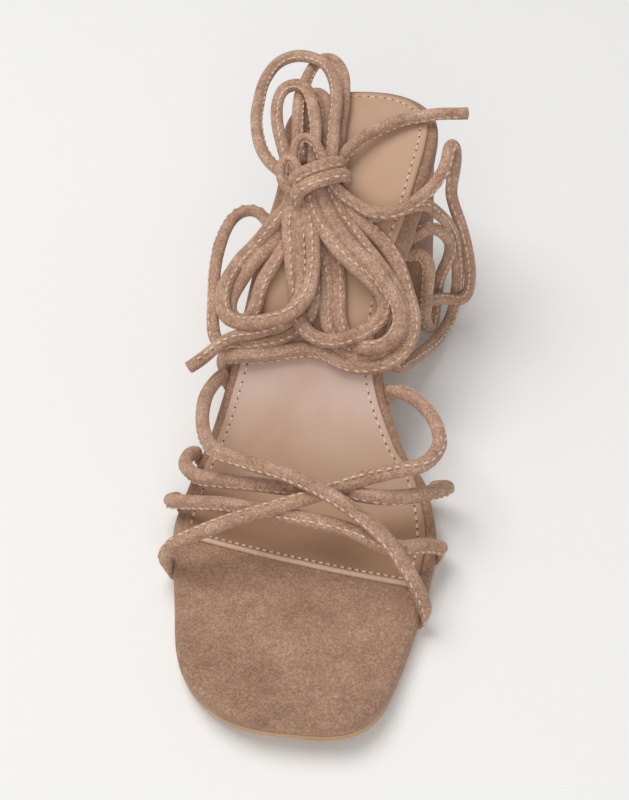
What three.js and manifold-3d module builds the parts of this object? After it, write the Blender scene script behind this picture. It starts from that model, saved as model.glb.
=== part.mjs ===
import * as THREE from 'three';
import Module from 'manifold-3d';
import { mergeVertices } from 'three/addons/utils/BufferGeometryUtils.js';

// Right shoe of a square-toed sandal with a block heel, four cord straps and long cord ties.
// Millimetres, +Z up, toe toward -Y, inner side toward +X, floor at z = 0.
// The origin is the centre of the heel's bottom face.

const wasm = await Module();
wasm.setup();

// Driving sizes
const shoeLength = 232;
const heelHeight = 74;
const seatWidth = 55.5;
const waistWidth = 53;
const ballWidth = 87.4;
const toeWidth = 70;
const toeSpring = 5;
const footbedThickness = 5.4;
const outsoleThickness = 2.6;
const outsoleInset = 0.5;
const sockThickness = 1.2;
const sockInset = 3.7;
const sockFrontOuter = 162.5;
const sockFrontInner = 177;
const sockFrontBulge = 3;
const heelLength = 47;
const heelBack = 3.5;
const heelInset = 1.4;
const heelBackSlope = 2;
const heelCorner = 6;
const tipThickness = 4;
const tipInset = 0.4;
const strapDiameter = 4.8;
const strapRise = 27;
const tailWidth = 7;
const tailThickness = 2;
const tailLength = 9;
const tieDiameter = 4.2;
const fitGap = 0.3;
const edgeRound = 1;

// Fineness of the facets
const endSteps = 9;
const middleSteps = 28;
const heelSteps = 22;
const strapSteps = 34;
const strapSides = 10;
const tieSides = 8;
const tieStepDiameters = 2.5;
const arcSegments = 12;

// Lines along the shoe, from the back of the heel
const heelCentre = heelBack + heelLength / 2;
const seatRound = seatWidth * 0.486;
const seatEnd = shoeLength * 0.069;
const ballLine = shoeLength * 0.655;
const springLine = shoeLength * 0.853;
const toeRoundStart = shoeLength * 0.848;
const foreTop = footbedThickness + fitGap + outsoleThickness;

// Roundness of the outline's ends: a higher power is squarer
const heelPower = 2.4;
const outerToePower = 2.5;
const innerToePower = 3.8;

// Plan of the footbed. along is a share of shoeLength from the back of the heel;
// outer and inner are shares of the width that the row follows, to each side of the long axis.
const outlineRows = [
  { along: 0.0, width: seatWidth, outer: 0.5, inner: 0.5 },
  { along: 0.122, width: seatWidth, outer: 0.5, inner: 0.5 },
  { along: 0.193, width: seatWidth, outer: 0.49, inner: 0.45 },
  { along: 0.246, width: seatWidth, outer: 0.53, inner: 0.4 },
  { along: 0.295, width: waistWidth, outer: 0.61, inner: 0.355 },
  { along: 0.431, width: waistWidth, outer: 0.715, inner: 0.285 },
  { along: 0.534, width: ballWidth, outer: 0.495, inner: 0.284 },
  { along: 0.578, width: ballWidth, outer: 0.532, inner: 0.374 },
  { along: 0.672, width: ballWidth, outer: 0.569, inner: 0.435 },
  { along: 0.755, width: ballWidth, outer: 0.53, inner: 0.419 },
  { along: 0.819, width: toeWidth, outer: 0.614, inner: 0.487 },
  { along: 0.896, width: toeWidth, outer: 0.563, inner: 0.435 },
  { along: 1.0, width: toeWidth, outer: 0.5, inner: 0.375 },
];

// The four forefoot straps. along is a share of shoeLength, across a share of ballWidth,
// and rise a share of strapRise above the footbed. Each strap starts and ends at the
// footbed's edge, on the side given (-1 outer, +1 inner) and at the share of shoeLength given.
const strapRows = [
  {
    start: { side: -1, along: 0.4496 },
    end: { side: 1, along: 0.796 },
    route: [
      { along: 0.499, across: -0.496, rise: 0.36 },
      { along: 0.547, across: -0.493, rise: 0.6 },
      { along: 0.589, across: -0.463, rise: 0.77 },
      { along: 0.62, across: -0.41, rise: 0.87 },
      { along: 0.645, across: -0.28, rise: 0.95 },
      { along: 0.666, across: -0.121, rise: 0.985 },
      { along: 0.691, across: 0.023, rise: 0.985 },
      { along: 0.722, across: 0.159, rise: 0.945 },
      { along: 0.75, across: 0.27, rise: 0.8 },
      { along: 0.773, across: 0.342, rise: 0.58 },
      { along: 0.791, across: 0.395, rise: 0.33 },
    ],
  },
  {
    start: { side: 1, along: 0.458 },
    end: { side: -1, along: 0.746 },
    route: [
      { along: 0.474, across: 0.266, rise: 0.2 },
      { along: 0.509, across: 0.351, rise: 0.47 },
      { along: 0.548, across: 0.408, rise: 0.67 },
      { along: 0.587, across: 0.424, rise: 0.8 },
      { along: 0.622, across: 0.376, rise: 0.87 },
      { along: 0.639, across: 0.274, rise: 0.9 },
      { along: 0.66, across: 0.133, rise: 0.885 },
      { along: 0.685, across: 0.005, rise: 0.855 },
      { along: 0.708, across: -0.146, rise: 0.8 },
      { along: 0.727, across: -0.286, rise: 0.73 },
      { along: 0.742, across: -0.413, rise: 0.6 },
      { along: 0.749, across: -0.508, rise: 0.43 },
      { along: 0.752, across: -0.552, rise: 0.22 },
    ],
  },
  {
    start: { side: -1, along: 0.557 },
    end: { side: 1, along: 0.586 },
    route: [
      { along: 0.569, across: -0.55, rise: 0.12 },
      { along: 0.594, across: -0.555, rise: 0.24 },
      { along: 0.623, across: -0.49, rise: 0.38 },
      { along: 0.641, across: -0.37, rise: 0.52 },
      { along: 0.655, across: -0.22, rise: 0.64 },
      { along: 0.666, across: -0.071, rise: 0.72 },
      { along: 0.669, across: 0.086, rise: 0.76 },
      { along: 0.671, across: 0.208, rise: 0.73 },
      { along: 0.655, across: 0.313, rise: 0.6 },
      { along: 0.627, across: 0.407, rise: 0.42 },
      { along: 0.6, across: 0.462, rise: 0.2 },
    ],
  },
  {
    start: { side: -1, along: 0.6307 },
    end: { side: 1, along: 0.6856 },
    route: [
      { along: 0.646, across: -0.594, rise: 0.12 },
      { along: 0.665, across: -0.499, rise: 0.32 },
      { along: 0.683, across: -0.361, rise: 0.52 },
      { along: 0.701, across: -0.226, rise: 0.65 },
      { along: 0.711, across: -0.091, rise: 0.69 },
      { along: 0.72, across: 0.04, rise: 0.7 },
      { along: 0.731, across: 0.152, rise: 0.69 },
      { along: 0.746, across: 0.257, rise: 0.65 },
      { along: 0.736, across: 0.333, rise: 0.52 },
      { along: 0.714, across: 0.4, rise: 0.34 },
      { along: 0.699, across: 0.444, rise: 0.16 },
    ],
  },
];

// The ties' bundles, each one solid of its outer shape. centre is x, y, z in millimetres;
// wide and long are directions in the bundle's own plane.
const knot = { centre: [-12, -26, 73.2], along: [-0.25, 0.9, 0.35], wide: 24, thick: 14.4, long: 14 };
const backLoops = {
  centre: [-21, 7, 80.8],
  wide: [1, 0, 0],
  long: [-0.1, 0.97, 0.09],
  width: 30,
  length: 59,
  thickness: 8.4,
};
const sideLoops = {
  centre: [35.2, -22, 33],
  wide: [0, 1, 0],
  long: [0, 0.15, 1],
  width: 30,
  length: 58,
  thickness: 16.4,
};
const frontLoops = {
  back: 58,
  front: 103,
  backMiddle: -13,
  frontMiddle: -10,
  narrowHalf: 9,
  spread: 22,
  backHeight: 13,
  frontHeight: 10,
  corner: 5,
  bevel: 3,
};

// Free routes of the ties, chosen by hand: x, y, z in millimetres
const innerTieRoute = [
  [16, -68, 26.5],
  [19.5, -67, 25],
  [21.5, -60, 19],
  [25.5, -47.5, 12.5],
  [30.5, -34.5, 7.5],
  [34, -24, 6],
  [36, -19, 9.5],
];
const innerLoopRoute = [
  [-7.5, -25.5, 73.5],
  [-4.5, -29, 71.5],
  [0, -31, 68],
  [4, -32, 66],
  [8.5, -32.5, 64.5],
  [13.5, -32, 64.5],
  [18.5, -30.5, 65.5],
  [23.5, -27.5, 67.5],
  [27.5, -24.5, 70],
  [31, -21, 74],
  [32.5, -15.5, 76.5],
  [32.8, -11.5, 78],
  [33.8, -7.5, 76.5],
  [34.6, -5, 72],
  [34.6, -4.5, 66.5],
  [34, -6, 61],
  [33.5, -8.5, 56],
  [35, -11, 51.5],
  [37.5, -12.5, 44.5],
];
const archLoopRoute = [
  [38, -19, 14],
  [34, -21.5, 16.5],
  [29, -27.5, 21],
  [24.5, -30.5, 21.5],
  [16, -32, 18],
  [8, -33, 17],
  [1, -33, 21],
  [-2, -33, 30],
  [1.5, -33, 38.5],
  [9, -32.5, 44],
  [16.5, -32, 44.8],
  [23.8, -31.5, 46.5],
  [28.5, -31.5, 46],
];
const innerEndRoute = [
  [-6.5, -20, 73],
  [-4, -14, 75],
  [-1, -10, 76.5],
  [2.5, -6, 77.5],
  [7, -2, 77.5],
  [12, 1.5, 78],
  [17, 4.5, 78],
  [22, 6, 78],
  [28, 8, 78],
  [33, 9, 77.5],
  [38, 9.5, 77.5],
];
const outerArcRoute = [
  [33, -22, 47],
  [29.5, -22.5, 50.5],
  [26, -23.8, 51.5],
  [23.5, -25.5, 50.2],
  [17, -27.5, 48],
  [8, -28, 48],
  [-3, -28, 48],
  [-14, -28, 48],
  [-24, -27.5, 48],
  [-29.5, -24, 48.4],
  [-33.5, -18.5, 49.2],
  [-37.5, -16, 50],
  [-41.5, -17.5, 50.4],
  [-44.4, -22, 50.4],
  [-46, -29.5, 50.2],
  [-46.6, -38.5, 49.6],
  [-46.5, -48, 47.5],
  [-45.6, -57, 44.5],
  [-45, -64, 40.5],
  [-44, -69, 37.5],
  [-42, -72, 36],
  [-38, -72.5, 35.5],
];
const outerTieRoute = [
  [-40.8, -71.4, 22.5],
  [-41.1, -71.8, 28],
  [-39.5, -72.4, 32.5],
  [-37, -73, 34],
];
const outerEndRoute = [
  [-29.5, -70, 40.5],
  [-35, -71, 40],
  [-40, -73.5, 38.8],
  [-43.5, -77, 37.5],
  [-46.5, -81, 37],
  [-50, -84.5, 36.5],
];

// Helpers for tables and curves
function smoothstep(value) {
  const t = THREE.MathUtils.clamp(value, 0, 1);
  return t * t * (3 - 2 * t);
}

function tableValue(rows, along, key) {
  const size = (row) => row.width * row[key];
  const last = rows.length - 1;
  let i = 0;
  while (i < last - 1 && along > rows[i + 1].along) {
    i += 1;
  }
  const slope = (a, b) => (size(rows[b]) - size(rows[a])) / (rows[b].along - rows[a].along);
  const step = rows[i + 1].along - rows[i].along;
  const t = (along - rows[i].along) / step;
  const startSlope = slope(Math.max(i - 1, 0), i + 1) * step;
  const endSlope = slope(i, Math.min(i + 2, last)) * step;
  const t2 = t * t;
  const t3 = t2 * t;
  return (2 * t3 - 3 * t2 + 1) * size(rows[i]) + (t3 - 2 * t2 + t) * startSlope
    + (3 * t2 - 2 * t3) * size(rows[i + 1]) + (t3 - t2) * endSlope;
}

function roundedEnd(share, power) {
  const t = THREE.MathUtils.clamp(share, 0, 1);
  return Math.pow(1 - Math.pow(t, power), 1 / power);
}

// Height of the footbed's top at a distance from the back of the heel
function bedTop(distance) {
  const drop = smoothstep((distance - seatEnd) / (ballLine - seatEnd));
  const spring = Math.max((distance - springLine) / (shoeLength - springLine), 0);
  return heelHeight - (heelHeight - foreTop) * drop + toeSpring * spring * spring;
}

function bedSlope(distance) {
  const reach = 0.5;
  return (bedTop(distance + reach) - bedTop(distance - reach)) / (2 * reach);
}

// Height of a surface that lies under the footbed's top, measured square to it
function bedBelow(distance, depth) {
  return bedTop(distance) - depth * Math.hypot(1, bedSlope(distance));
}

// Half width of the footbed on one side, drawn in by inset all round
function edge(side, distance, inset) {
  const key = side < 0 ? 'outer' : 'inner';
  const half = tableValue(outlineRows, distance / shoeLength, key) - inset;
  const heelShare = (seatRound - distance) / (seatRound - inset);
  const toeShare = (distance - toeRoundStart) / (shoeLength - inset - toeRoundStart);
  const toePower = side < 0 ? outerToePower : innerToePower;
  return half * roundedEnd(heelShare, heelPower) * roundedEnd(toeShare, toePower);
}

// A point beside the footbed's edge, out from it and below its top
function besideEdge(anchor, out, depth) {
  const distance = anchor.along * shoeLength;
  const x = anchor.side * (edge(anchor.side, distance, 0) + out);
  return new THREE.Vector3(x, heelCentre - distance, bedBelow(distance, depth));
}

// Stations along the shoe, close together at its round ends
function stationShares() {
  const heelShare = seatRound / shoeLength;
  const toeShare = toeRoundStart / shoeLength;
  const shares = [];
  for (let i = 0; i < endSteps; i += 1) {
    const angle = (Math.PI / 2) * ((i + 0.25) / endSteps);
    shares.push(heelShare * (1 - Math.cos(angle)));
  }
  for (let i = 0; i <= middleSteps; i += 1) {
    shares.push(THREE.MathUtils.lerp(heelShare, toeShare, i / middleSteps));
  }
  for (let i = endSteps - 1; i >= 0; i -= 1) {
    const angle = (Math.PI / 2) * ((i + 0.25) / endSteps);
    shares.push(1 - (1 - toeShare) * (1 - Math.cos(angle)));
  }
  return shares;
}

// Closed loft through rings of equal count, with both ends capped. A ring goes up the outer
// side and down the inner side, and its caps join the two sides row by row.
function loft(rings) {
  const count = rings[0].length;
  const positions = [];
  const index = [];
  for (const ring of rings) {
    for (const point of ring) {
      positions.push(point.x, point.y, point.z);
    }
  }
  for (let i = 0; i < rings.length - 1; i += 1) {
    for (let j = 0; j < count; j += 1) {
      const a = i * count + j;
      const b = i * count + ((j + 1) % count);
      index.push(a, b + count, b, a, a + count, b + count);
    }
  }
  const lastRing = (rings.length - 1) * count;
  for (let j = 0; j < count / 2 - 1; j += 1) {
    const across = count - 1 - j;
    index.push(j, j + 1, across - 1, j, across - 1, across);
    index.push(lastRing + j, lastRing + across - 1, lastRing + j + 1);
    index.push(lastRing + j, lastRing + across, lastRing + across - 1);
  }
  const geometry = new THREE.BufferGeometry();
  geometry.setAttribute('position', new THREE.Float32BufferAttribute(positions, 3));
  geometry.setIndex(index);
  return geometry;
}

// A layer that follows the footbed. Each profile row has an inset from the outline and a depth.
function bedLayer(profile) {
  const point = (side, share, row) => {
    const distance = row.inset + share * (shoeLength - 2 * row.inset);
    const x = side * edge(side, distance, row.inset);
    return new THREE.Vector3(x, heelCentre - distance, bedBelow(distance, row.depth));
  };
  const rings = stationShares().map((share) => [
    ...profile.map((row) => point(-1, share, row)),
    ...profile.slice().reverse().map((row) => point(1, share, row)),
  ]);
  return loft(rings);
}

function roundedProfile(inset, low, high, round) {
  return [
    { inset: inset + round, depth: low },
    { inset, depth: low - round },
    { inset, depth: high + round },
    { inset: inset + round * 0.3, depth: high + round * 0.3 },
    { inset: inset + round, depth: high },
  ];
}

// Booleans
function toSolid(geometry) {
  const bare = geometry.clone();
  bare.deleteAttribute('normal');
  bare.deleteAttribute('uv');
  const merged = mergeVertices(bare, 1e-4);
  return new wasm.Manifold(new wasm.Mesh({
    numProp: 3,
    vertProperties: new Float32Array(merged.attributes.position.array),
    triVerts: new Uint32Array(merged.index.array),
  }));
}

function toGeometry(solid) {
  const mesh = solid.getMesh();
  const geometry = new THREE.BufferGeometry();
  geometry.setAttribute('position', new THREE.BufferAttribute(mesh.vertProperties, 3));
  geometry.setIndex(new THREE.BufferAttribute(mesh.triVerts, 1));
  return geometry;
}

// Round cord along a path
function smoothPath(points) {
  return new THREE.CatmullRomCurve3(points, false, 'centripetal');
}

function cordTube(path, diameter, steps, sides) {
  const section = new THREE.Shape();
  for (let i = 0; i < sides; i += 1) {
    const angle = (2 * Math.PI * i) / sides;
    const x = (diameter / 2) * Math.cos(angle);
    const y = (diameter / 2) * Math.sin(angle);
    if (i === 0) {
      section.moveTo(x, y);
    } else {
      section.lineTo(x, y);
    }
  }
  section.closePath();
  return new THREE.ExtrudeGeometry(section, { steps, extrudePath: path });
}

// Footbed, outsole and sock
function footbedBlank() {
  return toSolid(bedLayer(roundedProfile(0, footbedThickness, 0, edgeRound)));
}

function outsoleBlank() {
  const top = footbedThickness + fitGap;
  const profile = roundedProfile(outsoleInset, top + outsoleThickness, top, edgeRound * 0.6);
  return toSolid(bedLayer(profile));
}

// The sock's front edge crosses the shoe at a slant and bulges toward the toe
function sockGeometry() {
  const layer = roundedProfile(sockInset, -fitGap, -fitGap - sockThickness, sockThickness * 0.4);
  const reach = ballWidth;
  const outline = new THREE.Shape();
  const middle = (sockFrontOuter + sockFrontInner) / 2 + sockFrontBulge;
  outline.moveTo(-reach, heelCentre + reach);
  outline.lineTo(-reach, heelCentre - sockFrontOuter);
  outline.lineTo(-ballWidth / 2, heelCentre - sockFrontOuter);
  outline.quadraticCurveTo(0, heelCentre - middle, ballWidth / 2, heelCentre - sockFrontInner);
  outline.lineTo(reach, heelCentre - sockFrontInner);
  outline.lineTo(reach, heelCentre + reach);
  outline.closePath();
  const keep = new THREE.ExtrudeGeometry(outline, {
    depth: 2 * heelHeight,
    bevelEnabled: false,
    curveSegments: arcSegments,
  });
  return toGeometry(toSolid(bedLayer(layer)).intersect(toSolid(keep)));
}

// Heel block and top piece, in rings from the floor up: the seat's outline at the top,
// a wide straight foot below
function heelRing(level, inset, height) {
  const back = inset + THREE.MathUtils.lerp(heelBack - heelBackSlope, heelBack, level);
  const front = heelBack + heelLength - inset;
  const round = seatRound - heelBack;
  const ring = { outer: [], inner: [] };
  for (let i = 0; i <= heelSteps; i += 1) {
    const angle = (Math.PI * (i + 0.25)) / (heelSteps + 0.5);
    const distance = THREE.MathUtils.lerp(back, front, (1 - Math.cos(angle)) / 2);
    const backShape = roundedEnd((back + round - distance) / round, heelPower);
    const frontShape = roundedEnd((distance - front + heelCorner) / heelCorner, 2);
    const frontPull = 1 - (heelCorner * 2 / seatWidth) * (1 - frontShape);
    for (const [name, side] of [['outer', -1], ['inner', 1]]) {
      const seat = tableValue(outlineRows, distance / shoeLength, name);
      const half = THREE.MathUtils.lerp(seat, seatWidth / 2, level) - heelInset - inset;
      const x = side * half * backShape * frontPull;
      ring[name].push(new THREE.Vector3(x, heelCentre - distance, height(distance)));
    }
  }
  return ring;
}

function heelGeometry(levels) {
  const rings = levels.map((row) => heelRing(row.level, row.inset, row.height));
  const sections = rings[0].outer.map((unused, i) => [
    ...rings.map((ring) => ring.outer[i]),
    ...rings.slice().reverse().map((ring) => ring.inner[i]),
  ]);
  return loft(sections);
}

function heelBlockGeometry() {
  const under = footbedThickness + outsoleThickness + 2 * fitGap;
  const floor = tipThickness + fitGap;
  const between = (share) => (distance) => (
    THREE.MathUtils.lerp(bedBelow(distance, under), floor, share)
  );
  return heelGeometry([
    { level: 1, inset: 0, height: between(1) },
    { level: 0.7, inset: 0, height: between(0.7) },
    { level: 0.35, inset: 0, height: between(0.35) },
    { level: 0, inset: 0, height: between(0) },
  ]);
}

function heelTipGeometry() {
  return heelGeometry([
    { level: 1, inset: 2 * tipInset, height: () => 0 },
    { level: 1, inset: tipInset, height: () => tipInset },
    { level: 1, inset: tipInset, height: () => tipThickness },
  ]);
}

// Straps: round cords that bow out from the edge, with flat tails under the footbed
function strapPoints(row) {
  const out = strapDiameter / 2 + fitGap;
  const route = row.route.map((stop) => {
    const distance = stop.along * shoeLength;
    const z = bedTop(distance) + stop.rise * strapRise;
    return new THREE.Vector3(stop.across * ballWidth, heelCentre - distance, z);
  });
  return [
    besideEdge(row.start, out, footbedThickness),
    besideEdge(row.start, out, 0),
    ...route,
    besideEdge(row.end, out, 0),
    besideEdge(row.end, out, footbedThickness),
  ];
}

// Flat tail of a strap, from under the cord inward below the footbed
function tailGeometry(anchor, grow) {
  const out = strapDiameter / 2 + fitGap;
  const depth = footbedThickness - tailThickness / 2;
  const start = besideEdge(anchor, out, depth);
  const distance = anchor.along * shoeLength;
  const inward = new THREE.Vector3(-anchor.side, 0, 0);
  const up = new THREE.Vector3(0, bedSlope(distance), 1).normalize();
  const along = new THREE.Vector3().crossVectors(up, inward);
  const length = out + tailLength;
  const box = new THREE.BoxGeometry(length + grow, tailWidth + 2 * grow, tailThickness + 2 * grow);
  const centre = start.clone().addScaledVector(inward, (length + grow) / 2);
  const place = new THREE.Matrix4().makeBasis(inward, along, up).setPosition(centre);
  return box.applyMatrix4(place);
}

function strapSolid(row, grow) {
  const path = smoothPath(strapPoints(row));
  const cord = cordTube(path, strapDiameter + 2 * grow, strapSteps, strapSides);
  return toSolid(cord)
    .add(toSolid(tailGeometry(row.start, grow)))
    .add(toSolid(tailGeometry(row.end, grow)));
}

function allStraps(grow) {
  return strapRows.map((row) => strapSolid(row, grow)).reduce((sum, solid) => sum.add(solid));
}

// Ties: a knot with loops and ends
function tieTube(route, grow) {
  const path = smoothPath(route.map((place) => new THREE.Vector3(...place)));
  const steps = Math.ceil(path.getLength() / (tieStepDiameters * tieDiameter));
  return toSolid(cordTube(path, tieDiameter + 2 * grow, steps, tieSides));
}

// The knot's wrap: an oval band round the bundled cords
function knotSolid(grow) {
  const oval = new THREE.Shape();
  oval.absellipse(0, 0, knot.wide / 2 + grow, knot.thick / 2 + grow, 0, 2 * Math.PI);
  const depth = knot.long + 2 * grow;
  const band = new THREE.ExtrudeGeometry(oval, {
    depth,
    bevelEnabled: false,
    curveSegments: arcSegments,
  });
  band.translate(0, 0, -depth / 2);
  const along = new THREE.Vector3(...knot.along).normalize();
  const across = new THREE.Vector3(1, 0, 0).addScaledVector(along, -along.x).normalize();
  const up = new THREE.Vector3().crossVectors(along, across);
  const place = new THREE.Matrix4().makeBasis(across, up, along);
  return toSolid(band.applyMatrix4(place.setPosition(...knot.centre)));
}

// A bundle with round ends
function bundleSolid(bundle, grow) {
  const radius = bundle.width / 2;
  const straight = bundle.length / 2 - radius;
  const outline = new THREE.Shape();
  outline.absarc(0, straight, radius + grow, 0, Math.PI, false);
  outline.absarc(0, -straight, radius + grow, Math.PI, 2 * Math.PI, false);
  outline.closePath();
  const depth = bundle.thickness + 2 * grow;
  const solid = new THREE.ExtrudeGeometry(outline, {
    depth,
    bevelEnabled: false,
    curveSegments: arcSegments,
  });
  solid.translate(0, 0, -depth / 2);
  const long = new THREE.Vector3(...bundle.long).normalize();
  const through = new THREE.Vector3().crossVectors(new THREE.Vector3(...bundle.wide), long);
  through.normalize();
  const wide = new THREE.Vector3().crossVectors(long, through);
  const place = new THREE.Matrix4().makeBasis(wide, long, through);
  return toSolid(solid.applyMatrix4(place.setPosition(...bundle.centre)));
}

// The front loops fan out over the sock from the knot, as one slab that follows the footbed
function frontLoopsSolid(grow) {
  const fan = frontLoops;
  const low = sockThickness + 2 * fitGap - grow;
  const rings = [];
  for (let i = 0; i <= arcSegments; i += 1) {
    const share = i / arcSegments;
    const distance = THREE.MathUtils.lerp(fan.back - grow, fan.front + grow, share);
    const middle = THREE.MathUtils.lerp(fan.backMiddle, fan.frontMiddle, share);
    const spread = fan.spread * Math.sin(Math.min(share * 1.25, 1) * Math.PI / 2);
    const corner = i === arcSegments ? fan.corner : 0;
    const half = fan.narrowHalf + spread + grow - corner;
    const high = THREE.MathUtils.lerp(fan.backHeight, fan.frontHeight, share) + grow;
    const section = [
      [-half, low],
      [-half, high - fan.bevel],
      [-half + fan.bevel, high],
      [half - fan.bevel, high],
      [half, high - fan.bevel],
      [half, low],
    ];
    rings.push(section.map(([x, lift]) => (
      new THREE.Vector3(middle + x, heelCentre - distance, bedBelow(distance, -lift))
    )));
  }
  return toSolid(loft(rings));
}

const group = new THREE.Group();

function addPiece(name, geometry, look) {
  const mesh = new THREE.Mesh(geometry, new THREE.MeshStandardMaterial(look));
  mesh.name = name;
  group.add(mesh);
}

const suede = { color: 0xa88671, roughness: 0.95, metalness: 0 };
const cordSuede = { color: 0xbe9b87, roughness: 0.9, metalness: 0 };
const smoothLining = { color: 0xc8ac98, roughness: 0.45, metalness: 0 };
const tanSole = { color: 0xbe9164, roughness: 0.6, metalness: 0 };
const darkTip = { color: 0x6b4f3c, roughness: 0.7, metalness: 0 };

// Solids that cut clearances in their neighbours, and the pieces they leave
const strapCut = allStraps(fitGap);
const knotCut = knotSolid(fitGap);
const sideLoopsCut = bundleSolid(sideLoops, fitGap);
const frontLoopsCut = frontLoopsSolid(fitGap);
const innerLoopCut = tieTube(innerLoopRoute, fitGap);
const frontLoopsBody = frontLoopsSolid(0).subtract(knotCut).subtract(strapCut);

addPiece('footbed', toGeometry(footbedBlank().subtract(strapCut)), suede);
addPiece('outsole', toGeometry(outsoleBlank().subtract(strapCut)), tanSole);
addPiece('insole_sock', sockGeometry(), smoothLining);
addPiece('heel_block', heelBlockGeometry(), suede);
addPiece('heel_tip', heelTipGeometry(), darkTip);
addPiece('upper_straps', toGeometry(allStraps(0)), cordSuede);

const tiePieces = {
  tie_knot: knotSolid(0),
  tie_loops_front: frontLoopsBody.subtract(innerLoopCut),
  tie_loops_back: bundleSolid(backLoops, 0).subtract(knotCut),
  tie_loops_side: bundleSolid(sideLoops, 0),
  tie_inner: tieTube(innerTieRoute, 0).subtract(sideLoopsCut),
  tie_inner_loop: tieTube(innerLoopRoute, 0).subtract(knotCut).subtract(sideLoopsCut),
  tie_inner_end: tieTube(innerEndRoute, 0).subtract(knotCut),
  tie_arch_loop: tieTube(archLoopRoute, 0).subtract(sideLoopsCut),
  tie_outer_arc: tieTube(outerArcRoute, 0).subtract(sideLoopsCut).subtract(frontLoopsCut),
  tie_outer: tieTube(outerTieRoute, 0).subtract(frontLoopsCut),
  tie_outer_end: tieTube(outerEndRoute, 0).subtract(frontLoopsCut),
};
for (const [name, solid] of Object.entries(tiePieces)) {
  addPiece(name, toGeometry(solid), cordSuede);
}

export default group;
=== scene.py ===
# A right high-heeled sandal: cord straps, a block heel and long cord ties knotted over the insole.
# Lengths are in millimetres until a mesh is made. The toe points to -Y, +X is the inner side.
import math
import bpy
import numpy as np
from mathutils import Matrix, Vector


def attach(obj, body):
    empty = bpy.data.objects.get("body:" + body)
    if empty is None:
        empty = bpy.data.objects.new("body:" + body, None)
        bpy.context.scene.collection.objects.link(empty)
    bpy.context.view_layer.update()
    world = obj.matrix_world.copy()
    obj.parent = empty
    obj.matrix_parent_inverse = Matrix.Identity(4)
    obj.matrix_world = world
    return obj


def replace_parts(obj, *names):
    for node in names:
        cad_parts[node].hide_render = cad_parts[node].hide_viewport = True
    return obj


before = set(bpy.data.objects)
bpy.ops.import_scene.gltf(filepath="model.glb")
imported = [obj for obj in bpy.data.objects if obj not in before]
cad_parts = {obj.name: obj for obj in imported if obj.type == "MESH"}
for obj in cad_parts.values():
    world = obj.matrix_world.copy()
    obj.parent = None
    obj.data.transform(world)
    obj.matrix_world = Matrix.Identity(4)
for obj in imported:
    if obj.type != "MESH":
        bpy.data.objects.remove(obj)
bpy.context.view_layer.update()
scene = bpy.context.scene
MM = 0.001

# Sizes of the shoe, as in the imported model
shoe_length = 232.0
heel_height = 74.0
fore_top = 8.3
toe_spring = 5.0
footbed_thickness = 5.4
outsole_thickness = 2.6
outsole_inset = 0.5
sock_thickness = 1.2
sock_inset = 3.7
sock_front_outer = 162.5
sock_front_inner = 177.0
sock_front_bulge = 3.0
heel_length = 47.0
heel_back = 3.5
heel_inset = 1.4
heel_back_slope = 2.0
heel_corner = 6.0
tip_thickness = 4.0
tip_inset = 0.4
strap_rise = 27.0
tie_diameter = 4.2
fit_gap = 0.3
seat_width = 55.5
waist_width = 53.0
ball_width = 87.4
toe_width = 70.0
heel_centre = 27.0
seat_round = seat_width * 0.486
seat_end = 0.069 * shoe_length
ball_line = 0.655 * shoe_length
spring_line = 0.853 * shoe_length
toe_round_start = 0.848 * shoe_length
heel_power = 2.4
outer_toe_power = 2.5
inner_toe_power = 3.8

# Share of the length, full width there, and how much of it lies to the outer and the inner side
outline_rows = [
    (0.0, seat_width, 0.5, 0.5),
    (0.122, seat_width, 0.5, 0.5),
    (0.193, seat_width, 0.49, 0.45),
    (0.246, seat_width, 0.53, 0.4),
    (0.295, waist_width, 0.61, 0.355),
    (0.431, waist_width, 0.715, 0.285),
    (0.534, ball_width, 0.495, 0.284),
    (0.578, ball_width, 0.532, 0.374),
    (0.672, ball_width, 0.569, 0.435),
    (0.755, ball_width, 0.53, 0.419),
    (0.819, toe_width, 0.614, 0.487),
    (0.896, toe_width, 0.563, 0.435),
    (1.0, toe_width, 0.5, 0.375),
]

# Camera of the photograph, fitted to the outline of the footbed. The photograph shows a pair, so
# this camera stands in the same place and turns and zooms to the one shoe.
photo_width = 629.0
photo_height = 800.0
photo_focal = 900.0
camera_place = (58.8, -431.4, 395.0)
camera_azimuth = math.radians(-3.66)
camera_elevation = math.radians(46.74)
camera_roll = math.radians(0.78)
shoe_middle_px = (237.0, 397.0)
camera_zoom = 1.66


def unit(vector):
    vector = np.asarray(vector, float)
    return vector / np.linalg.norm(vector, axis=-1, keepdims=True)


camera_forward = np.array([
    math.sin(camera_azimuth) * math.cos(camera_elevation),
    math.cos(camera_azimuth) * math.cos(camera_elevation),
    -math.sin(camera_elevation),
])
level_right = np.array([math.cos(camera_azimuth), -math.sin(camera_azimuth), 0.0])
level_up = np.cross(level_right, camera_forward)
photo_right = math.cos(camera_roll) * level_right + math.sin(camera_roll) * level_up
photo_up = -math.sin(camera_roll) * level_right + math.cos(camera_roll) * level_up
camera_forward = unit(camera_forward
                      + photo_right * (shoe_middle_px[0] - photo_width / 2) / photo_focal
                      - photo_up * (shoe_middle_px[1] - photo_height / 2) / photo_focal)
camera_right = unit(photo_right - camera_forward * np.dot(photo_right, camera_forward))
camera_up = np.cross(camera_right, camera_forward)


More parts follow.
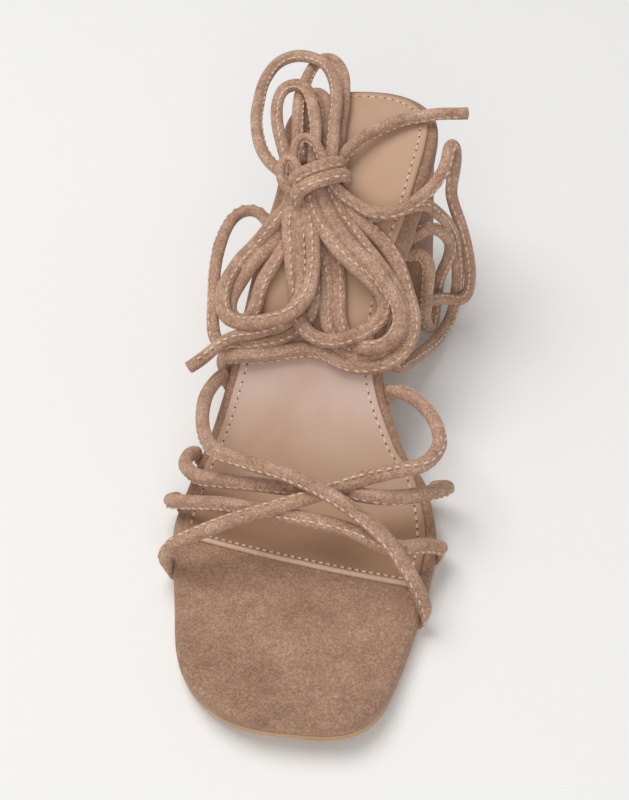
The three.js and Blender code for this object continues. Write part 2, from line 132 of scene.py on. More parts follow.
def make_camera():
    data = bpy.data.cameras.new("photo_camera")
    data.sensor_width = 36.0
    data.lens = camera_zoom * photo_focal / photo_height * data.sensor_width
    data.clip_start = 0.01
    data.clip_end = 20.0
    camera = bpy.data.objects.new("photo_camera", data)
    scene.collection.objects.link(camera)
    place = Matrix.Identity(4)
    for row in range(3):
        place[row][0] = camera_right[row]
        place[row][1] = camera_up[row]
        place[row][2] = -camera_forward[row]
        place[row][3] = camera_place[row] * MM
    camera.matrix_world = place
    scene.camera = camera


make_camera()


# The footbed's own shape
def table_value(along, column):
    rows = np.array(outline_rows)
    at = rows[:, 0]
    size = rows[:, 1] * rows[:, column]
    along = np.asarray(along, float)
    last = len(at) - 1
    i = np.clip(np.searchsorted(at, along, side="left") - 1, 0, last - 1)
    before = np.maximum(i - 1, 0)
    after = np.minimum(i + 2, last)
    step = at[i + 1] - at[i]
    t = (along - at[i]) / step
    start = (size[i + 1] - size[before]) / (at[i + 1] - at[before]) * step
    end = (size[after] - size[i]) / (at[after] - at[i]) * step
    t2 = t * t
    t3 = t2 * t
    return ((2 * t3 - 3 * t2 + 1) * size[i] + (t3 - 2 * t2 + t) * start
            + (3 * t2 - 2 * t3) * size[i + 1] + (t3 - t2) * end)


def rounded_end(share, power):
    t = np.clip(share, 0.0, 1.0)
    return np.power(np.maximum(1.0 - np.power(t, power), 0.0), 1.0 / power)


def smoothstep(value):
    t = np.clip(value, 0.0, 1.0)
    return t * t * (3.0 - 2.0 * t)


def bed_top(distance):
    distance = np.asarray(distance, float)
    drop = smoothstep((distance - seat_end) / (ball_line - seat_end))
    spring = np.maximum((distance - spring_line) / (shoe_length - spring_line), 0.0)
    return heel_height - (heel_height - fore_top) * drop + toe_spring * spring * spring


def bed_slope(distance):
    return bed_top(np.asarray(distance) + 0.5) - bed_top(np.asarray(distance) - 0.5)


def bed_below(distance, depth):
    return bed_top(distance) - depth * np.hypot(1.0, bed_slope(distance))


def edge(side, distance, inset):
    distance = np.asarray(distance, float)
    half = table_value(distance / shoe_length, 2 if side < 0 else 3) - inset
    heel_share = (seat_round - distance) / (seat_round - inset)
    toe_share = (distance - toe_round_start) / (shoe_length - inset - toe_round_start)
    toe_power = outer_toe_power if side < 0 else inner_toe_power
    return half * rounded_end(heel_share, heel_power) * rounded_end(toe_share, toe_power)


# Meshes
def link_mesh(name, verts, faces, materials, indices=None):
    mesh = bpy.data.meshes.new(name)
    mesh.from_pydata((np.asarray(verts) * MM).tolist(), [], [tuple(f) for f in faces])
    for material in materials:
        mesh.materials.append(material)
    if indices is not None:
        mesh.polygons.foreach_set("material_index", np.asarray(indices, dtype=np.int32))
    mesh.polygons.foreach_set("use_smooth", np.ones(len(mesh.polygons), dtype=bool))
    mesh.update()
    mesh.validate()
    piece = bpy.data.objects.new(name, mesh)
    scene.collection.objects.link(piece)
    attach(piece, "root")
    return piece


def catmull(points, dense=12):
    """Centripetal curve through the points, as a dense line."""
    p = np.asarray(points, float)
    p = np.vstack([2 * p[0] - p[1], p, 2 * p[-1] - p[-2]])
    out = []
    for i in range(1, len(p) - 2):
        p0, p1, p2, p3 = p[i - 1], p[i], p[i + 1], p[i + 2]
        t0 = 0.0
        t1 = t0 + np.linalg.norm(p1 - p0) ** 0.5
        t2 = t1 + np.linalg.norm(p2 - p1) ** 0.5
        t3 = t2 + np.linalg.norm(p3 - p2) ** 0.5
        t = np.linspace(t1, t2, dense, endpoint=False)[:, None]
        a1 = (t1 - t) / (t1 - t0) * p0 + (t - t0) / (t1 - t0) * p1
        a2 = (t2 - t) / (t2 - t1) * p1 + (t - t1) / (t2 - t1) * p2
        a3 = (t3 - t) / (t3 - t2) * p2 + (t - t2) / (t3 - t2) * p3
        b1 = (t2 - t) / (t2 - t0) * a1 + (t - t0) / (t2 - t0) * a2
        b2 = (t3 - t) / (t3 - t1) * a2 + (t - t1) / (t3 - t1) * a3
        out.append((t2 - t) / (t2 - t1) * b1 + (t - t1) / (t2 - t1) * b2)
    out.append(p[-2][None])
    return np.vstack(out)


def even(line, spacing):
    """The same line with its points evenly apart."""
    line = np.asarray(line, float)
    steps = np.linalg.norm(np.diff(line, axis=0), axis=1)
    at = np.concatenate([[0.0], np.cumsum(steps)])
    count = max(int(round(at[-1] / spacing)), 4)
    new = np.linspace(0.0, at[-1], count + 1)
    return np.stack([np.interp(new, at, line[:, k]) for k in range(3)], axis=1)


def relax(line, rounds, share=0.5):
    line = line.copy()
    for _ in range(rounds):
        line[1:-1] += share * (0.5 * (line[:-2] + line[2:]) - line[1:-1])
    return line


def line_length(line):
    return float(np.linalg.norm(np.diff(line, axis=0), axis=1).sum())


def carried_frames(line, up):
    """Tangent, side and up at each point, turned as little as possible along the line."""
    tangent = unit(np.gradient(line, axis=0))
    ups = np.zeros_like(line)
    first = np.asarray(up, float) - np.dot(up, tangent[0]) * tangent[0]
    ups[0] = unit(first)
    for i in range(1, len(line)):
        moved = ups[i - 1] - np.dot(ups[i - 1], tangent[i]) * tangent[i]
        ups[i] = moved / np.linalg.norm(moved)
    return tangent, np.cross(tangent, ups), ups


def turned_frames(line, toward):
    """Frames whose up looks the given way where it can, and turns slowly where it can't."""
    tangent, side, up = carried_frames(line, toward if abs(np.dot(unit(line[1] - line[0]), toward)) < 0.9
                                       else (1.0, 0.0, 0.3))
    wanted = toward - (tangent @ toward)[:, None] * tangent
    turn = (wanted * up).sum(axis=1) + 1j * (wanted * side).sum(axis=1)
    reach = 12
    window = np.hanning(2 * reach + 3)[1:-1]
    turn = np.convolve(np.pad(turn, reach, mode="edge"), window, mode="valid")
    angle = np.angle(turn)[:, None]
    return tangent, -np.sin(angle) * up + np.cos(angle) * side, np.cos(angle) * up + np.sin(angle) * side


# Stitched cord: one row of stitches beside a seam groove
stitch_pitch = 2.9
stitch_long = 1.95
stitch_wide = 0.78
stitch_high = 0.34
stitch_sink = 0.02
seam_groove = 0.3
seam_offset = 0.75
seam_way = unit((0.0, -0.62, 0.78))
groove_deep = 0.24
groove_wide = 0.2
stitch_row_deep = 0.04
stitch_row_pinch = 0.05
stitch_row_wide = 0.24
# Points along a cord lie this far apart
cord_step = 0.65


def stitch_body(centre, along, across, out, length, width, height):
    """A thread that dips in at both ends, as rings of four points."""
    verts = []
    shares = (-0.5, -0.36, 0.0, 0.36, 0.5)
    sizes = (0.25, 0.8, 1.0, 0.8, 0.25)
    lifts = (-0.75, 0.05, 0.3, 0.05, -0.75)
    for share, size, lift in zip(shares, sizes, lifts):
        middle = centre + along * share * length + out * lift * height
        for a in range(4):
            angle = math.pi / 4 + a * math.pi / 2
            verts.append(middle + across * math.cos(angle) * width * 0.62 * size
                         + out * math.sin(angle) * height * 0.62 * size)
    faces = []
    for i in range(4):
        for a in range(4):
            b = (a + 1) % 4
            faces.append((i * 4 + a, i * 4 + b, i * 4 + 4 + b, i * 4 + 4 + a))
    faces.append((3, 2, 1, 0))
    faces.append((16, 17, 18, 19))
    return verts, faces


def tube(line, wide, thick, phase, wave=0.55, sides=20, frames=None, stitch_from=0.0, stitch_to=None):
    """Stitched cord of oval section along a line. wide and thick are sizes, or one for each point."""
    tangent, side, ups = frames or turned_frames(line, seam_way)
    at = np.concatenate([[0.0], np.cumsum(np.linalg.norm(np.diff(line, axis=0), axis=1))])
    count = len(line)
    wide = np.broadcast_to(np.asarray(wide, float), (count,))
    thick = np.broadcast_to(np.asarray(thick, float), (count,))
    angles = np.arange(sides) * 2 * math.pi / sides
    seam = phase + wave * np.sin(at / 23.0 + phase * 3.0)
    relative = (angles - seam[:, None] + math.pi) % (2 * math.pi) - math.pi
    # thick lies along up and wide along side; both swell a little along the cord
    swell = 1.0 + 0.022 * np.sin(at / 5.3 + phase) + 0.018 * np.sin(at / 2.9 + 2 * phase)
    across = (wide / 2 * swell)[:, None]
    through = (thick / 2 * (2.0 - swell))[:, None]
    reach = across * through / np.hypot(through * np.sin(angles), across * np.cos(angles))
    radius = np.minimum(across, through)
    reach = reach - radius * groove_deep * np.exp(-((relative - seam_groove) / groove_wide) ** 2)
    pinch = 0.5 - 0.5 * np.cos(2 * math.pi * at / stitch_pitch)
    row_deep = radius * (stitch_row_deep + stitch_row_pinch * pinch[:, None])
    reach = reach - row_deep * np.exp(-((relative - seam_offset) / stitch_row_wide) ** 2)
    verts = (line[:, None, :]
             + reach[:, :, None] * (np.cos(angles)[None, :, None] * ups[:, None, :]
                                    + np.sin(angles)[None, :, None] * side[:, None, :]))
    verts = verts.reshape(-1, 3)
    faces = []
    for i in range(count - 1):
        for j in range(sides):
            k = (j + 1) % sides
            faces.append((i * sides + j, (i + 1) * sides + j, (i + 1) * sides + k, i * sides + k))
    first = len(verts)
    bulge = 0.12
    ends = np.array([line[0] - tangent[0] * thick[0] * bulge, line[-1] + tangent[-1] * thick[-1] * bulge])
    last = (count - 1) * sides
    for j in range(sides):
        k = (j + 1) % sides
        faces.append((first, j, k))
        faces.append((first + 1, last + k, last + j))
    indices = [0] * len(faces)
    parts = [verts, ends]
    total = first + 2
    stitch_to = at[-1] - stitch_pitch if stitch_to is None else stitch_to
    for place in np.arange(stitch_from + stitch_pitch, stitch_to, stitch_pitch):
        i = min(int(np.searchsorted(at, place)), count - 1)
        angle = seam[i] + seam_offset
        out = math.cos(angle) * ups[i] + math.sin(angle) * side[i]
        beside = -math.sin(angle) * ups[i] + math.cos(angle) * side[i]
        grow = float(across[i, 0] * through[i, 0]
                     / math.hypot(through[i, 0] * math.sin(angle), across[i, 0] * math.cos(angle)))
        slant = unit(tangent[i] + 0.12 * beside)
        body, quads = stitch_body(line[i] + out * (grow - stitch_sink), slant, beside, out,
                                  stitch_long, stitch_wide, stitch_high)
        parts.append(np.array(body))
        for quad in quads:
            faces.append(tuple(total + q for q in quad))
            indices.append(1)
        total += len(body)
    return np.vstack(parts), faces, indices


# Materials
def new_material(name):
    """Empty material, its node tree, its shader and the place on the piece as a source."""
    material = bpy.data.materials.new(name)
    material.use_nodes = True
    tree = material.node_tree
    for node in list(tree.nodes):
        tree.nodes.remove(node)
    output = tree.nodes.new("ShaderNodeOutputMaterial")
    shader = tree.nodes.new("ShaderNodeBsdfPrincipled")
    tree.links.new(shader.outputs["BSDF"], output.inputs["Surface"])
    return material, tree, shader, tree.nodes.new("ShaderNodeTexCoord").outputs["Object"]


def linear(red, green, blue):
    """Screen colour of 0 to 255 as linear light."""
    out = []
    for value in (red, green, blue):
        share = value / 255.0
        out.append(share / 12.92 if share <= 0.04045 else ((share + 0.055) / 1.055) ** 2.4)
    return (*out, 1.0)


def noise(tree, source, scale, detail=3.0, roughness=0.55, distortion=0.0):
    node = tree.nodes.new("ShaderNodeTexNoise")
    node.inputs["Scale"].default_value = scale
    node.inputs["Detail"].default_value = detail
    node.inputs["Roughness"].default_value = roughness
    node.inputs["Distortion"].default_value = distortion
    tree.links.new(source, node.inputs["Vector"])
    return node.outputs["Fac"]


def ramp(tree, source, stops):
    node = tree.nodes.new("ShaderNodeValToRGB")
    while len(node.color_ramp.elements) < len(stops):
        node.color_ramp.elements.new(0.5)
    for element, (at, colour) in zip(node.color_ramp.elements, stops):
        element.position = at
        element.color = colour
    tree.links.new(source, node.inputs["Fac"])
    return node.outputs["Color"]


def feed(tree, value, socket):
    """A number or a colour is set on the socket, and an output is linked to it."""
    if isinstance(value, (int, float, tuple)):
        socket.default_value = value
    else:
        tree.links.new(value, socket)


def mix(tree, share, first, second, how="MIX"):
    node = tree.nodes.new("ShaderNodeMix")
    node.data_type = "RGBA"
    node.blend_type = how
    for value, i in ((share, 0), (first, 6), (second, 7)):
        feed(tree, value, node.inputs[i])
    return node.outputs[2]


def maths(tree, how, first, second):
    node = tree.nodes.new("ShaderNodeMath")
    node.operation = how
    for value, i in ((first, 0), (second, 1)):
        feed(tree, value, node.inputs[i])
    return node.outputs[0]


def bump(tree, height, strength, distance, before=None):
    node = tree.nodes.new("ShaderNodeBump")
    node.inputs["Strength"].default_value = strength
    node.inputs["Distance"].default_value = distance
    tree.links.new(height, node.inputs["Height"])
    if before is not None:
        tree.links.new(before, node.inputs["Normal"])
    return node.outputs["Normal"]


def suede_material(name, dark, middle, light, patch_scale, grain_scale, grain_share, sheen):
    material, tree, shader, place = new_material(name)
    patches = noise(tree, place, patch_scale, 4.0, 0.6, 0.4)
    brushed = noise(tree, place, patch_scale * 4.5, 3.0, 0.6)
    grain = noise(tree, place, grain_scale, 3.0, 0.7)
    speck = noise(tree, place, 0.55 * grain_scale, 2.0, 0.6, 0.6)
    base = ramp(tree, patches, [(0.3, dark), (0.5, middle), (0.72, light)])
    base = mix(tree, 0.4, base, ramp(tree, brushed, [(0.3, dark), (0.55, middle), (0.8, light)]))
    grey = [(0.36, (0.62, 0.58, 0.55, 1.0)), (0.5, (0.98, 0.97, 0.96, 1.0)), (0.64, (1.5, 1.46, 1.42, 1.0))]
    base = mix(tree, grain_share, base, ramp(tree, grain, grey), "MULTIPLY")
    base = mix(tree, grain_share * 0.7, base, ramp(tree, speck, grey), "MULTIPLY")
    tree.links.new(base, shader.inputs["Base Color"])
    shader.inputs["Roughness"].default_value = 0.92
    shader.inputs["Specular IOR Level"].default_value = 0.18
    shader.inputs["Sheen Weight"].default_value = sheen
    shader.inputs["Sheen Roughness"].default_value = 0.55
    shader.inputs["Sheen Tint"].default_value = linear(236, 212, 194)
    soft = bump(tree, patches, 0.25, 0.0012)
    rough = bump(tree, speck, 0.55, 0.0003, soft)
    tree.links.new(bump(tree, grain, 0.6, 0.0002, rough), shader.inputs["Normal"])
    return material


def sock_material():
    material, tree, shader, place = new_material("smooth_sock_leather")
    broad = noise(tree, place, 26.0, 3.0, 0.5, 0.6)
    cells = tree.nodes.new("ShaderNodeTexVoronoi")
    cells.feature = "DISTANCE_TO_EDGE"
    cells.inputs["Scale"].default_value = 1300.0
    tree.links.new(place, cells.inputs["Vector"])
    fine = noise(tree, place, 900.0, 3.0, 0.6)
    base = ramp(tree, broad, [
        (0.3, linear(202, 169, 147)), (0.55, linear(211, 181, 163)), (0.75, linear(217, 190, 174))])
    # Painted shade and painted reflection along the shoe, from the heel end to the front: share 0 lies
    # 30 mm behind the frame's origin and share 1 lies 140 mm before it
    axes = tree.nodes.new("ShaderNodeSeparateXYZ")
    tree.links.new(place, axes.inputs["Vector"])
    along = maths(tree, "MULTIPLY_ADD", axes.outputs["Y"], -1.0 / 0.17)
    along.node.inputs[2].default_value = 0.03 / 0.17
    # Golden painted shade under the cords to 0.54, pink painted reflection at 0.6 to 0.65, painted strap
    # shade at the front
    painted_shade_and_reflection = ramp(tree, along, [
        (0.1, (0.87, 0.81, 0.71, 1.0)), (0.36, (0.87, 0.8, 0.69, 1.0)), (0.54, (0.84, 0.76, 0.64, 1.0)),
        (0.6, (1.02, 1.07, 1.2, 1.0)), (0.65, (0.99, 1.04, 1.13, 1.0)), (0.76, (0.88, 0.83, 0.74, 1.0)),
        (0.94, (0.63, 0.52, 0.4, 1.0))])
    base = mix(tree, 1.0, base, painted_shade_and_reflection, "MULTIPLY")
    tree.links.new(base, shader.inputs["Base Color"])
    gloss = maths(tree, "MULTIPLY_ADD", broad, 0.12)
    tree.links.new(maths(tree, "ADD", gloss, 0.36), shader.inputs["Roughness"])
    shader.inputs["Specular IOR Level"].default_value = 0.42
    shader.inputs["Coat Weight"].default_value = 0.08
    shader.inputs["Coat Roughness"].default_value = 0.3
    soft = bump(tree, broad, 0.3, 0.0016)
    skin = bump(tree, cells.outputs["Distance"], 0.22, 0.0001, soft)
    tree.links.new(bump(tree, fine, 0.25, 0.0001, skin), shader.inputs["Normal"])
    return material


def thread_material():
    material, tree, shader, place = new_material("pale_thread")
    twist = tree.nodes.new("ShaderNodeTexWave")
    twist.inputs["Scale"].default_value = 900.0
    twist.inputs["Distortion"].default_value = 3.0
    tree.links.new(place, twist.inputs["Vector"])
    shade = noise(tree, place, 240.0, 2.0, 0.5)
    base = ramp(tree, shade, [(0.3, linear(224, 190, 166)), (0.7, linear(244, 216, 194))])
    tree.links.new(base, shader.inputs["Base Color"])
    shader.inputs["Roughness"].default_value = 0.6
    tree.links.new(bump(tree, twist.outputs["Fac"], 0.5, 0.00012), shader.inputs["Normal"])
    return material


def toned_material(name, dark, light, roughness, patches, grain, strength, depth):
    """Two tones in patches of a scale and a detail, with a fine grain."""
    material, tree, shader, place = new_material(name)
    base = ramp(tree, noise(tree, place, *patches, 0.6), [(0.3, linear(*dark)), (0.7, linear(*light))])
    tree.links.new(base, shader.inputs["Base Color"])
    shader.inputs["Roughness"].default_value = roughness
    fine = noise(tree, place, grain, 3.0, 0.6)
    tree.links.new(bump(tree, fine, strength, depth), shader.inputs["Normal"])
    return material


cord_suede = suede_material("cord_suede_nap", linear(158, 125, 104), linear(183, 149, 128),
                            linear(211, 181, 162), 110.0, 2200.0, 0.7, 0.3)
wrap_suede = suede_material("wrap_suede_nap", linear(146, 114, 94), linear(166, 133, 112),
                            linear(186, 153, 132), 62.0, 1700.0, 0.55, 0.25)
sock_leather = sock_material()
thread = thread_material()
outsole_edge = toned_material("tan_outsole_edge", (184, 144, 106), (204, 168, 130), 0.5,
                              (60.0, 4.0), 900.0, 0.3, 0.00015)
tip_rubber = toned_material("heel_top_piece", (98, 72, 54), (118, 90, 70), 0.55,
                            (80.0, 3.0), 1100.0, 0.35, 0.00015)
cut_edge = toned_material("cut_sock_edge", (206, 176, 152), (222, 194, 170), 0.7,
                          (700.0, 3.0), 700.0, 0.3, 0.0001)
# Needle pits: dark discs of painted shade, standing in for the shade inside the needle holes
painted_pit_shade = toned_material("needle_pits_painted_shade", (96, 70, 54), (112, 84, 66), 0.9,
                     (700.0, 3.0), 700.0, 0.3, 0.0001)

# Routes of the ties, chosen against the photograph
tie_routes = {
    "back_wide": [
        (-20, -24, 71), (-24, -22.5, 72.5), (-29, -19, 74), (-33, -13.5, 75.5), (-35.5, -6.5, 77.5),
        (-37, 1, 78.5), (-37.5, 10.5, 79), (-37.5, 19.5, 79.5), (-36, 27.5, 80), (-33.5, 33, 80.5),
        (-29.5, 36, 81), (-25.5, 35.5, 82), (-20.5, 33.5, 82.5), (-16, 29.5, 83), (-12.5, 23.5, 83),
        (-10, 15.5, 82.5), (-8.5, 5.5, 82), (-8, -5, 81), (-7.5, -13, 78.5), (-8, -19, 75)],
    "back_tall": [
        (-18, -17, 73), (-20, -11, 76), (-21, -4, 78.5), (-22, 5, 80), (-22, 16, 79.5), (-22, 26, 78.5),
        (-21, 34, 78), (-18.5, 39.5, 78), (-15, 39.5, 78.5), (-11.5, 35.5, 78.5), (-9, 29, 78.5),
        (-7.5, 20, 78), (-6.5, 9.5, 78), (-6.5, -1, 77), (-6.5, -9, 74), (-7.5, -16.5, 71.5)],
    "back_small": [
        (-20.5, -24.5, 74), (-23.5, -19, 77), (-25.5, -14, 79.5), (-27.5, -8.5, 81.5), (-29, -1, 83),
        (-29.2, 5.5, 84), (-27.8, 11, 84.5), (-24.2, 13.4, 84.5), (-20.4, 11.6, 84.5), (-17.6, 6, 84),
        (-15.5, -1.5, 82.5), (-14, -9, 80.5), (-14, -15, 78), (-14, -19.5, 75)],
    "back_short": [
        (-17, -16.5, 70.5), (-19, -10.5, 73.5), (-20, -2.5, 75.5), (-21, 6, 77), (-21, 14, 77.5),
        (-19, 19, 77.5), (-16, 18, 77.5), (-13, 12, 77.5), (-11.5, 3.5, 77), (-11.5, -5.5, 75),
        (-11.5, -11.5, 72.5), (-11.5, -16.5, 70)],
    "inner_end": [
        (-6.5, -20, 73), (-4, -14, 75), (-1, -10, 76.5), (2.5, -6, 77.5), (7, -2, 77.5), (12, 1.5, 78),
        (17, 4.5, 78), (22, 6, 78), (28, 8, 78), (33, 9, 77.5), (38, 9.5, 77.5)],
    "big_left": [
        (-14.5, -28.5, 71.5), (-14.5, -34.5, 68), (-12, -41, 64.5), (-11, -46.5, 60.5), (-10.5, -52, 56.5),
        (-11, -58, 52.5), (-13.5, -62.5, 49), (-18, -66, 46.3), (-23.5, -67.6, 44.9), (-29.5, -68.5, 43.8),
        (-35, -68, 43), (-39.5, -66, 43.6), (-41.5, -61.5, 46), (-41.5, -56, 48.5), (-39.5, -51, 50.5),
        (-36.5, -46, 53), (-31.5, -42, 55.5), (-27, -38.5, 59), (-23, -34.5, 62.5), (-20, -30.5, 66.5),
        (-17.5, -26, 70)],
    "outer_end": [
        (-16.5, -28, 70), (-17.5, -34, 66.5), (-16.5, -40, 63), (-15.5, -46, 59), (-14.5, -52, 54.5),
        (-14, -57.5, 50.5), (-14.5, -62, 46.5), (-18, -66, 43), (-23.5, -68, 41.5), (-29.5, -70, 40.5),
        (-35, -71, 40), (-40, -73.5, 38.8), (-43.5, -77, 37.5), (-46.5, -81, 37), (-50, -84.5, 36.5)],
    "small_left": [
        (-18.5, -26, 68), (-20, -31.5, 64.5), (-22.5, -36, 60.5), (-26.5, -40.5, 57), (-31, -45, 53.5),
        (-34.5, -49.5, 50.5), (-37.5, -53.5, 47.2), (-39.6, -58, 44), (-39, -62.6, 41.5),
        (-35, -64.6, 40.2), (-31.4, -62.8, 41.2), (-30, -58.3, 44), (-29, -53.5, 47.5), (-26.5, -49, 50.5),
        (-23.5, -44.5, 54), (-21, -39.5, 58), (-19, -34, 63), (-17, -28.5, 67.5)],
    "middle": [
        (-18.5, -29.5, 70), (-20, -34.5, 66.5), (-20, -39.5, 62), (-19, -45, 58), (-18, -51, 53.5),
        (-16.5, -56.5, 49.5), (-16, -61.5, 45.5), (-14, -66.5, 42.5), (-10, -69.5, 40.5), (-4.5, -71, 39.5),
        (2, -70.5, 40), (8, -68, 41.5), (12.5, -65, 43.5), (15, -61, 46), (14, -57.5, 49), (10, -54.5, 53),
        (5.5, -52.5, 56.5), (0, -49.5, 59.5), (-5, -45, 62.5), (-9.5, -40, 66), (-12.5, -34.5, 69.5),
        (-13.5, -29, 71.5)],
    "right": [
        (-11, -29, 72.5), (-9, -34, 70), (-5.5, -39, 67.5), (-1, -44, 63.5), (4.5, -48.5, 60),
        (10, -52, 56.5), (14.5, -56, 53), (18.5, -59.5, 49.5), (20.5, -63.5, 45.5), (19.5, -67, 41.5),
        (16, -70, 38.5), (10.5, -71.5, 36), (5, -70.5, 36), (1, -66.5, 38), (-1, -61, 42), (-2, -55, 46),
        (-3, -49, 50.5), (-5, -43, 55), (-7.5, -38, 59.5), (-10.5, -33, 64), (-12.5, -27.5, 68)],
    "right_low": [
        (-9.5, -26.5, 71.5), (-6, -31.5, 68.5), (-1.5, -37, 65), (3.5, -41, 61), (8.5, -45.5, 57.5),
        (13.5, -50, 54), (17.5, -54.5, 50.5), (21, -59.5, 46.5), (22.5, -64, 42.5), (20.5, -68.5, 38.5),
        (16, -71, 35.5), (10, -72.5, 34), (3, -72, 34), (-2, -69, 36.5), (-5, -64, 40), (-6, -58, 44),
        (-6.5, -52, 48.5), (-7.5, -46, 53), (-9.5, -41, 57.5), (-12, -36, 62), (-13.5, -30.5, 66.5)],
    "outer": [
        (-40.8, -71.4, 22.5), (-41.1, -71.8, 28), (-39.5, -72.4, 32.5), (-35, -73.8, 34.2),
        (-24, -73, 33.5), (-16, -71.5, 34.5), (-9, -71, 35), (-3.5, -72, 34), (3, -74, 33),
        (10, -74.5, 32.5), (16.5, -73.5, 33.5), (21, -70.5, 36.5), (23.5, -66, 40), (23.5, -60.5, 44),
        (22, -55, 47), (20, -49.5, 50.5), (17, -44.5, 54), (13, -40, 57), (7.5, -36, 60), (2, -32.5, 63.5),
        (-3.5, -28, 67), (-8, -23.5, 70)],
    "arch_loop": [
        (-7.5, -25.5, 73.5), (-4.5, -29, 71.5), (0, -31, 68), (4, -32, 66), (8.5, -32.5, 64.5),
        (13.5, -32, 64.5), (18.5, -30.5, 65.5), (23.5, -27.5, 67.5), (27.5, -24.5, 70), (31, -21, 74),
        (32.5, -15.5, 76.5), (32.8, -11.5, 78), (33.8, -7.5, 76.5), (34.6, -5, 72), (34.6, -4.5, 66.5),
        (34, -6, 61), (33.5, -8.5, 56), (35, -11, 51.5), (37.5, -12.5, 44.5), (39.5, -14, 37),
        (41, -15.5, 29), (41.5, -15.5, 21), (40.5, -17, 15), (38, -19, 14), (34, -21.5, 16.5),
        (29, -27.5, 21), (24.5, -30.5, 21.5), (16, -32, 18), (8, -33, 17), (1, -33, 21), (-2, -33, 30)],
    "arch_bight": [
        (-2, -33, 30), (1.5, -33, 38.5), (9, -32.5, 44), (16.5, -32, 44.8), (23.8, -31.5, 46.5),
        (26.8, -32.8, 45.5), (27.8, -34, 41), (27.5, -35, 35.5), (27, -35.5, 27), (26.5, -34.5, 18.5),
        (27.5, -31, 10.5), (28.5, -25.5, 6.5), (29, -20.5, 9.5), (29.5, -18.5, 17), (31, -18.5, 25.5),
        (33.5, -19.5, 34), (34.5, -21, 41.5), (33, -22, 47), (29.5, -22.5, 50.5), (26, -23.8, 51.5),
        (23.5, -25.5, 50.2), (17, -27.5, 48), (8, -28, 48), (-3, -28, 48), (-14, -28, 48), (-24, -27.5, 48)],
    "outer_arc": [
        (-24, -27.5, 48), (-29.5, -24, 48.4), (-33.5, -18.5, 49.2), (-37.5, -16, 50), (-41.5, -17.5, 50.4),
        (-44.4, -22, 50.4), (-46, -29.5, 50.2), (-46.6, -38.5, 49.6), (-46.5, -48, 47.5),
        (-45.6, -57, 44.5), (-45, -64, 40.5), (-44, -69, 37.5), (-42, -72, 36), (-38, -72.5, 35.5),
        (-33.5, -72.5, 35), (-27.5, -70.5, 35.5), (-21.5, -69, 36.5), (-15.5, -65.5, 37.5),
        (-11, -60, 40.5), (-9, -54, 44.5), (-9, -48, 49)],
    "inner": [
        (16, -68, 26.5), (19.5, -67, 25), (21.5, -60, 19), (25.5, -47.5, 12.5), (30.5, -34.5, 7.5),
        (34, -24, 6), (36, -19, 9.5), (37, -17, 17), (37, -16.5, 25.5), (36.5, -16.5, 34),
        (35.5, -17.5, 42.5), (33, -19, 50.5), (29.5, -22.5, 58), (26, -26, 64), (22, -29.5, 66),
        (17.5, -30.5, 64.5), (12.5, -32, 62.5), (7, -33, 61.5), (1.5, -32, 62.5), (-3.5, -29.5, 65),
        (-7.5, -26.5, 68), (-11, -23, 70.5)],
}
knot_centre = np.array([-12.0, -26.0, 73.2])

# The cords settle against each other and on the sock: they are pushed a diameter apart, mostly
# along the line of sight, and drawn back toward the given routes
particle_step = 2.0
settle_steps = 160
settle_push = 0.42
settle_smooth = 0.4
draw_along_sight = 0.012
draw_across_sight = 0.05


def settle(routes):
    names = list(routes)
    lines = [even(relax(even(catmull(routes[n]), 1.0), 6), particle_step) for n in names]
    starts = np.cumsum([0] + [len(line) for line in lines])
    home = np.vstack(lines)
    place = home.copy()
    cord = np.concatenate([np.full(len(line), i) for i, line in enumerate(lines)])
    at = np.concatenate([np.arange(len(line)) * particle_step for line in lines])
    sight = unit(home - np.array(camera_place))
    over = home[:, 2] > bed_top(heel_centre - home[:, 1]) + 1.0
    from_knot = np.linalg.norm(home - knot_centre, axis=1)
    give = np.clip((from_knot - 5.0) / 12.0, 0.35, 1.0)
    for step in range(settle_steps):
        if step % 8 == 0:
            gap = place[:, None, :] - place[None, :, :]
            close = (gap * gap).sum(axis=2) < (2.2 * tie_diameter) ** 2
            same = cord[:, None] == cord[None, :]
            far_along = np.abs(at[:, None] - at[None, :]) > 2.4 * tie_diameter
            near = np.argwhere(np.triu(close & (~same | far_along), 1))
        gap = place[near[:, 0]] - place[near[:, 1]]
        distance = np.maximum(np.linalg.norm(gap, axis=1), 1e-6)
        wanted = tie_diameter * np.minimum(give[near[:, 0]], give[near[:, 1]])
        push = np.maximum(wanted - distance, 0.0)
        shift = gap / distance[:, None] * (settle_push * push)[:, None]
        np.add.at(place, near[:, 0], shift)
        np.add.at(place, near[:, 1], -shift)
        away = place - home
        depth = (away * sight).sum(axis=1, keepdims=True) * sight
        away -= draw_along_sight * depth + draw_across_sight * (away - depth)
        for i in range(len(names)):
            a, b = starts[i], starts[i + 1]
            piece = away[a:b]
            piece[1:-1] += settle_smooth * (0.5 * (piece[:-2] + piece[2:]) - piece[1:-1])
        place = home + away
        distance_along = heel_centre - place[:, 1]
        inside = over & (distance_along > 0) & (place[:, 0] > -edge(-1, distance_along, 0)) \
            & (place[:, 0] < edge(1, distance_along, 0))
        tilt = np.hypot(1.0, bed_slope(distance_along))
        lowest = bed_top(distance_along) + (sock_thickness + fit_gap + tie_diameter / 2) * tilt
        place[:, 2] = np.where(inside, np.maximum(place[:, 2], lowest), place[:, 2])
        place[:, 2] = np.maximum(place[:, 2], tie_diameter / 2)
    return {name: place[starts[i]:starts[i + 1]] for i, name in enumerate(names)}


tie_lines = settle(tie_routes)

